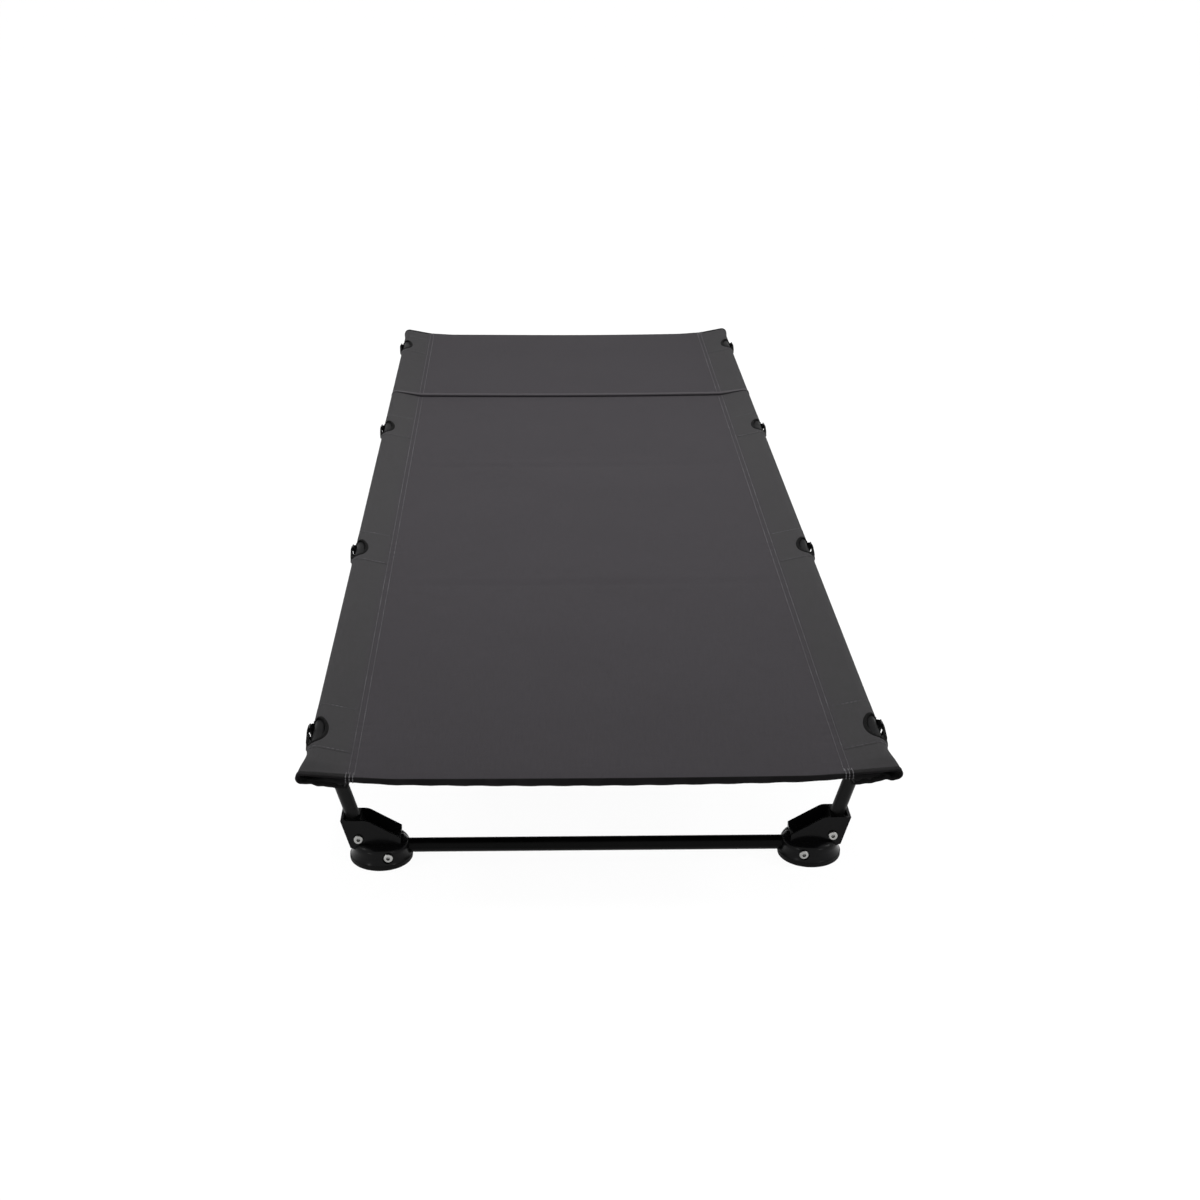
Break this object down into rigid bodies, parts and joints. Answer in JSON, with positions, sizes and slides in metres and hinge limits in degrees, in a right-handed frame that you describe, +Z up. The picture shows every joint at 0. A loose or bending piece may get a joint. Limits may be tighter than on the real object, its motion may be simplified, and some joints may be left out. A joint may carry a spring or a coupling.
{
  "type": "low folding bed",
  "caption": "Low bed with a fabric sling on two jointed tube rails, held up by clip-on leg sets whose arms fold in over a cross tube with round rubber-soled feet.",
  "frame": {"origin": "on the floor, under the middle of the bed", "axes": "+X across the bed, +Y along it towards the head end, +Z up"},
  "size_m": [0.633, 1.9, 0.1653],
  "materials": {
    "sling_cloth": "dark grey woven polyester",
    "binding_tape": "black webbing tape",
    "black_tube": "black anodised",
    "bare_tube": "mill",
    "black_plastic": "fine moulded texture",
    "sole_rubber": "matt",
    "zinc_steel": "bright zinc plate",
    "elastic_cord": "braided cover"
  },
  "bodies": {
    "bed": {"sling_main_panel": "sling_cloth", "sling_head_panel": "sling_cloth", "end_bindings": "binding_tape", "rail_ferrules": "bare_tube", "rail_end_caps": "black_plastic", "shock_cords": "elastic_cord", "left_rail_section_1": "black_tube", "left_rail_section_2": "black_tube", "left_rail_section_3": "black_tube", "left_rail_section_4": "black_tube", "right_rail_section_1": "black_tube", "right_rail_section_2": "black_tube", "right_rail_section_3": "black_tube", "right_rail_section_4": "black_tube"},
    "leg_set_1": {"cross_tube_1": "black_tube", "left_foot_1": "black_plastic", "right_foot_1": "black_plastic", "foot_pads_1": "sole_rubber", "foot_bolts_1": "zinc_steel"},
    "left_arm_1": {"left_arm_tube_1": "black_tube", "left_knuckle_1": "black_plastic", "left_clip_1": "black_plastic"},
    "right_arm_1": {"right_arm_tube_1": "black_tube", "right_knuckle_1": "black_plastic", "right_clip_1": "black_plastic"},
    "leg_set_2": {"cross_tube_2": "black_tube", "left_foot_2": "black_plastic", "right_foot_2": "black_plastic", "foot_pads_2": "sole_rubber", "foot_bolts_2": "zinc_steel"},
    "left_arm_2": {"left_arm_tube_2": "black_tube", "left_knuckle_2": "black_plastic", "left_clip_2": "black_plastic"},
    "right_arm_2": {"right_arm_tube_2": "black_tube", "right_knuckle_2": "black_plastic", "right_clip_2": "black_plastic"},
    "leg_set_3": {"cross_tube_3": "black_tube", "left_foot_3": "black_plastic", "right_foot_3": "black_plastic", "foot_pads_3": "sole_rubber", "foot_bolts_3": "zinc_steel"},
    "left_arm_3": {"left_arm_tube_3": "black_tube", "left_knuckle_3": "black_plastic", "left_clip_3": "black_plastic"},
    "right_arm_3": {"right_arm_tube_3": "black_tube", "right_knuckle_3": "black_plastic", "right_clip_3": "black_plastic"},
    "leg_set_4": {"cross_tube_4": "black_tube", "left_foot_4": "black_plastic", "right_foot_4": "black_plastic", "foot_pads_4": "sole_rubber", "foot_bolts_4": "zinc_steel"},
    "left_arm_4": {"left_arm_tube_4": "black_tube", "left_knuckle_4": "black_plastic", "left_clip_4": "black_plastic"},
    "right_arm_4": {"right_arm_tube_4": "black_tube", "right_knuckle_4": "black_plastic", "right_clip_4": "black_plastic"}
  },
  "joints": [
    {"name": "leg_set_1_release", "type": "slide", "parent": "bed", "child": "leg_set_1", "axis": [0, 0, -1], "range_m": [0, 0.6]},
    {"name": "left_arm_1_fold", "type": "hinge", "parent": "leg_set_1", "child": "left_arm_1", "pos_m": [-0.2625, -0.838, 0.031], "axis": [0, 1, 0], "range_deg": [0, 97.95]},
    {"name": "right_arm_1_fold", "type": "hinge", "parent": "leg_set_1", "child": "right_arm_1", "pos_m": [0.2625, -0.838, 0.031], "axis": [0, -1, 0], "range_deg": [0, 97.95]},
    {"name": "leg_set_2_release", "type": "slide", "parent": "bed", "child": "leg_set_2", "axis": [0, 0, -1], "range_m": [0, 0.6]},
    {"name": "left_arm_2_fold", "type": "hinge", "parent": "leg_set_2", "child": "left_arm_2", "pos_m": [-0.2625, -0.267, 0.031], "axis": [0, 1, 0], "range_deg": [0, 97.95]},
    {"name": "right_arm_2_fold", "type": "hinge", "parent": "leg_set_2", "child": "right_arm_2", "pos_m": [0.2625, -0.267, 0.031], "axis": [0, -1, 0], "range_deg": [0, 97.95]},
    {"name": "leg_set_3_release", "type": "slide", "parent": "bed", "child": "leg_set_3", "axis": [0, 0, -1], "range_m": [0, 0.6]},
    {"name": "left_arm_3_fold", "type": "hinge", "parent": "leg_set_3", "child": "left_arm_3", "pos_m": [-0.2625, 0.306, 0.031], "axis": [0, 1, 0], "range_deg": [0, 97.95]},
    {"name": "right_arm_3_fold", "type": "hinge", "parent": "leg_set_3", "child": "right_arm_3", "pos_m": [0.2625, 0.306, 0.031], "axis": [0, -1, 0], "range_deg": [0, 97.95]},
    {"name": "leg_set_4_release", "type": "slide", "parent": "bed", "child": "leg_set_4", "axis": [0, 0, -1], "range_m": [0, 0.6]},
    {"name": "left_arm_4_fold", "type": "hinge", "parent": "leg_set_4", "child": "left_arm_4", "pos_m": [-0.2625, 0.843, 0.031], "axis": [0, 1, 0], "range_deg": [0, 97.95]},
    {"name": "right_arm_4_fold", "type": "hinge", "parent": "leg_set_4", "child": "right_arm_4", "pos_m": [0.2625, 0.843, 0.031], "axis": [0, -1, 0], "range_deg": [0, 97.95]}
  ],
  "couplings": [
    {"joint": "left_arm_1_fold", "follows": "leg_set_1_release", "rad_per_m": 2.849},
    {"joint": "right_arm_1_fold", "follows": "leg_set_1_release", "rad_per_m": 2.849},
    {"joint": "left_arm_2_fold", "follows": "leg_set_2_release", "rad_per_m": 2.849},
    {"joint": "right_arm_2_fold", "follows": "leg_set_2_release", "rad_per_m": 2.849},
    {"joint": "left_arm_3_fold", "follows": "leg_set_3_release", "rad_per_m": 2.849},
    {"joint": "right_arm_3_fold", "follows": "leg_set_3_release", "rad_per_m": 2.849},
    {"joint": "left_arm_4_fold", "follows": "leg_set_4_release", "rad_per_m": 2.849},
    {"joint": "right_arm_4_fold", "follows": "leg_set_4_release", "rad_per_m": 2.849}
  ]
}
